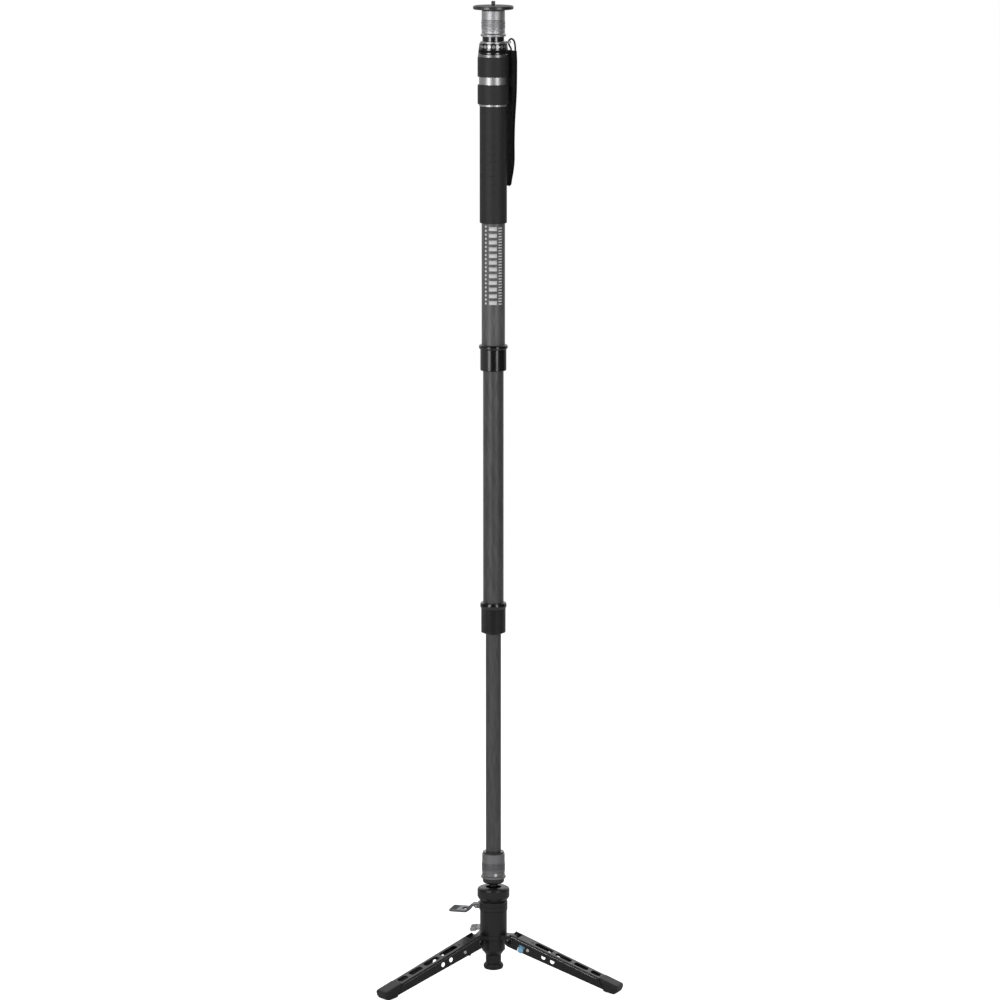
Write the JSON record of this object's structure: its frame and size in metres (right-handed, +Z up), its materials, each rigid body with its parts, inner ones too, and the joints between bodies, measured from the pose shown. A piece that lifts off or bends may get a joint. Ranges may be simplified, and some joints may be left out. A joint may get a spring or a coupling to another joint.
{
  "type": "camera monopod",
  "caption": "Camera monopod with a telescopic carbon column, twist lock, rubber grip, wrist strap, camera plate and a tilting base on folding legs with foot pedals.",
  "frame": {"origin": "on the axis of the column, on the floor that the feet stand on", "axes": "+Z up along the column; -Y is the front, between the two legs that reach towards the viewer"},
  "size_m": [0.3646, 0.3356, 1.45],
  "materials": {
    "black_anodised": "black anodised, satin",
    "carbon": "carbon fibre tube, satin lacquer",
    "rubber": "moulded rubber, matte",
    "grey_anodised": "grey anodised, turned",
    "bare_aluminium": "turned, bright",
    "steel": "bright",
    "pedal_metal": "cast, bead blasted",
    "inner_plastic": "moulded acetal",
    "brass_part": "turned",
    "blue_plastic": "moulded, satin",
    "webbing": "woven nylon webbing",
    "plate_black": "black anodised, satin"
  },
  "bodies": {
    "base": {"hub_body": "black_anodised", "leg_ring": "black_anodised", "centre_post": "black_anodised", "centre_foot": "rubber", "hinge_bolts": "steel", "pedal_pins": "steel"},
    "friction": {"friction_ring": "black_anodised"},
    "pan": {"pan_cup": "inner_plastic"},
    "lower": {"ball_stem": "bare_aluminium", "base_spigot": "black_anodised", "lower_socket": "black_anodised", "lower_balls": "steel", "lower_spring": "inner_plastic", "lower_tube": "carbon", "lower_plug": "inner_plastic", "lower_brake": "inner_plastic"},
    "lower_sleeve": {"lower_sleeve": "grey_anodised"},
    "lower_cam": {"lower_cam": "brass_part"},
    "middle": {"middle_tube": "carbon", "middle_collar": "black_anodised", "middle_bush": "inner_plastic", "middle_plug": "inner_plastic", "middle_brake": "inner_plastic"},
    "drive": {"drive_tube": "bare_aluminium"},
    "upper": {"upper_tube": "carbon", "upper_collar": "black_anodised", "upper_bush": "inner_plastic", "grip": "rubber", "head_core": "black_anodised", "head_collar": "black_anodised", "upper_socket": "black_anodised", "upper_balls": "steel", "upper_spring": "inner_plastic", "camera_plate": "plate_black", "plate_pad": "rubber", "camera_stud": "steel"},
    "twist": {"twist_sleeve": "bare_aluminium", "upper_band": "rubber", "lower_band": "rubber", "twist_pin": "steel", "drive_rod": "bare_aluminium"},
    "upper_sleeve": {"upper_sleeve": "grey_anodised"},
    "strap": {"strap_ring": "bare_aluminium", "strap_cord": "webbing", "wrist_strap": "webbing"},
    "pedal_upper": {"pedal_upper": "pedal_metal"},
    "pedal_lower": {"pedal_lower": "pedal_metal"},
    "leg_a": {"leg_channel_a": "black_anodised", "leg_foot_a": "rubber", "leg_pin_a": "steel"},
    "latch_a": {"leg_latch_a": "blue_plastic"},
    "leg_b": {"leg_channel_b": "black_anodised", "leg_foot_b": "rubber", "leg_pin_b": "steel"},
    "latch_b": {"leg_latch_b": "blue_plastic"},
    "leg_c": {"leg_channel_c": "black_anodised", "leg_foot_c": "rubber", "leg_pin_c": "steel"},
    "latch_c": {"leg_latch_c": "blue_plastic"}
  },
  "joints": [
    {"name": "friction_turn", "type": "hinge", "parent": "base", "child": "friction", "pos_m": [0, 0, 0.12703], "axis": [0, 0, 1], "range_deg": [-45, 45]},
    {"name": "pan_turn", "type": "hinge", "parent": "base", "child": "pan", "pos_m": [0, 0, 0.12703], "axis": [0, 0, 1], "continuous": true},
    {"name": "column_tilt", "type": "hinge", "parent": "pan", "child": "lower", "pos_m": [0, 0, 0.12703], "axis": [0.9942, 0.108, 0], "range_deg": [-18, 18]},
    {"name": "lower_sleeve_pull", "type": "slide", "parent": "lower", "child": "lower_sleeve", "axis": [0, 0, 1], "range_m": [-0.0035, 0], "stiffness_N_per_m": 800, "springref_m": 0.004, "deforming": ["lower_spring"]},
    {"name": "middle_slide", "type": "slide", "parent": "lower", "child": "middle", "axis": [0, 0, 1], "range_m": [-0.322, 0]},
    {"name": "upper_slide", "type": "slide", "parent": "middle", "child": "upper", "axis": [0, 0, 1], "range_m": [-0.328, 0]},
    {"name": "lock_twist", "type": "hinge", "parent": "upper", "child": "twist", "pos_m": [0, 0, 1.35603], "axis": [0, 0, 1], "range_deg": [0, 90]},
    {"name": "drive_turn", "type": "hinge", "parent": "middle", "child": "drive", "pos_m": [0, 0, 0.97003], "axis": [0, 0, 1], "range_deg": [0, 90]},
    {"name": "lower_cam_turn", "type": "hinge", "parent": "lower", "child": "lower_cam", "pos_m": [0, 0, 0.58503], "axis": [0, 0, 1], "range_deg": [0, 90]},
    {"name": "upper_sleeve_pull", "type": "slide", "parent": "upper", "child": "upper_sleeve", "axis": [0, 0, 1], "range_m": [-0.0035, 0], "stiffness_N_per_m": 800, "springref_m": 0.004, "deforming": ["upper_spring"]},
    {"name": "strap_swivel", "type": "hinge", "parent": "upper", "child": "strap", "pos_m": [0, 0, 1.38933], "axis": [0, 0, 1], "continuous": true},
    {"name": "pedal_upper_press", "type": "hinge", "parent": "base", "child": "pedal_upper", "pos_m": [-0.02283, 0.00655, 0.11248], "axis": [-0.2756, -0.9613, 0], "range_deg": [0, 12], "stiffness_Nm_per_rad": 1.5, "springref_deg": -5.73},
    {"name": "pedal_lower_press", "type": "hinge", "parent": "base", "child": "pedal_lower", "pos_m": [-0.01437, 0.00581, 0.07923], "axis": [-0.3746, -0.9272, 0], "range_deg": [0, 8], "stiffness_Nm_per_rad": 1.5, "springref_deg": -5.73},
    {"name": "leg_fold_a", "type": "hinge", "parent": "base", "child": "leg_a", "pos_m": [-0.02542, -0.0186, 0.06273], "axis": [-0.5906, 0.807, 0], "range_deg": [0, 98]},
    {"name": "latch_press_a", "type": "hinge", "parent": "leg_a", "child": "latch_a", "pos_m": [-0.04873, -0.03566, 0.05233], "axis": [0.5906, -0.807, 0], "range_deg": [0, 8], "stiffness_Nm_per_rad": 0.4, "springref_deg": -5.73},
    {"name": "leg_fold_b", "type": "hinge", "parent": "base", "child": "leg_b", "pos_m": [0.02882, -0.01271, 0.06273], "axis": [-0.4035, -0.915, 0], "range_deg": [0, 98]},
    {"name": "latch_press_b", "type": "hinge", "parent": "leg_b", "child": "latch_b", "pos_m": [0.05525, -0.02437, 0.05233], "axis": [0.4035, 0.915, 0], "range_deg": [0, 8], "stiffness_Nm_per_rad": 0.4, "springref_deg": -5.73},
    {"name": "leg_fold_c", "type": "hinge", "parent": "base", "child": "leg_c", "pos_m": [-0.0034, 0.03132, 0.06273], "axis": [0.9942, 0.108, 0], "range_deg": [0, 98]},
    {"name": "latch_press_c", "type": "hinge", "parent": "leg_c", "child": "latch_c", "pos_m": [-0.00652, 0.06003, 0.05233], "axis": [-0.9942, -0.108, 0], "range_deg": [0, 8], "stiffness_Nm_per_rad": 0.4, "springref_deg": -5.73}
  ],
  "couplings": [
    {"joint": "drive_turn", "follows": "lock_twist", "ratio": 1},
    {"joint": "lower_cam_turn", "follows": "lock_twist", "ratio": 1}
  ]
}
